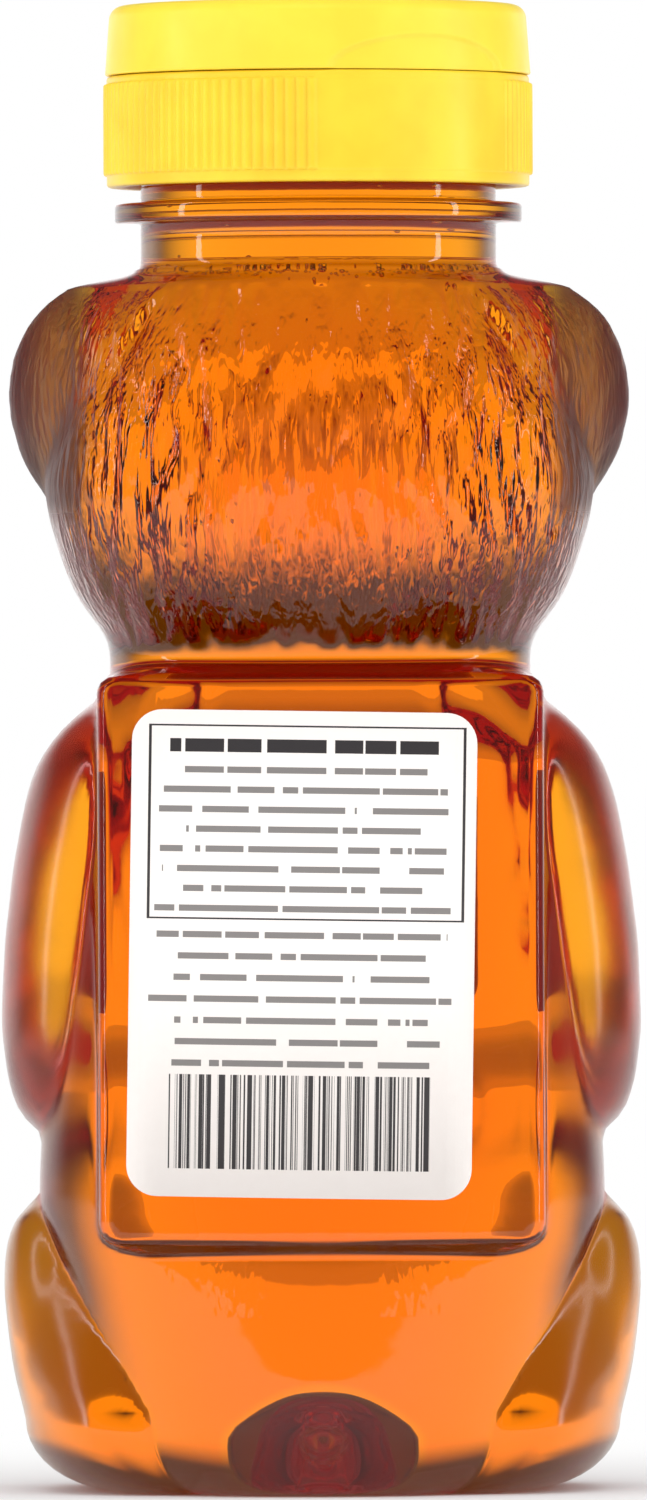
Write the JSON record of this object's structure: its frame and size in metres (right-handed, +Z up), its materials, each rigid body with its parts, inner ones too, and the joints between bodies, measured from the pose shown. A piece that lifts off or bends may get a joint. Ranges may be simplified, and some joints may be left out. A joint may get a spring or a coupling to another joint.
{
  "type": "squeeze bottle",
  "caption": "Clear squeeze bottle shaped like a sitting bear, filled with honey, with paper labels and a ribbed screw closure that has a flip-top lid on a living hinge.",
  "frame": {"origin": "on the axis of the neck, in the plane the bottle stands on, which is the bottom centre of its box to within a millimetre", "axes": "+Z up along the neck, -Y the way the bear faces, +X the bear's left"},
  "size_m": [0.0632, 0.0483, 0.1465],
  "materials": {
    "bottle_plastic": "clear and glossy",
    "honey": "clear amber liquid",
    "seal_foam": "white foam",
    "closure_plastic": "moulded, satin gloss",
    "lid_plastic": "moulded, satin gloss",
    "label_paper": "coated paper, slight sheen"
  },
  "bodies": {
    "bottle": {"bottle": "bottle_plastic", "honey": "honey", "back_label": "label_paper", "front_label": "label_paper"},
    "seal": {"seal_disc": "seal_foam"},
    "closure": {"closure_base": "closure_plastic", "living_hinge": "lid_plastic"},
    "lid": {"closure_lid": "lid_plastic"}
  },
  "joints": [
    {"name": "closure_lift", "type": "slide", "parent": "bottle", "child": "seal", "axis": [0, 0, 1], "range_m": [0, 0.01268]},
    {"name": "closure_turn", "type": "hinge", "parent": "seal", "child": "closure", "pos_m": [0, 0, 0.1395], "axis": [0, 0, 1], "range_deg": [0, 1080]},
    {"name": "lid_flip", "type": "hinge", "parent": "closure", "child": "lid", "pos_m": [0.01076, -0.01792, 0.1395], "axis": [0.8572, 0.515, 0], "range_deg": [0, 140], "deforming": ["living_hinge"]}
  ],
  "couplings": [
    {"joint": "closure_turn", "follows": "closure_lift", "rad_per_m": 1485.4}
  ]
}
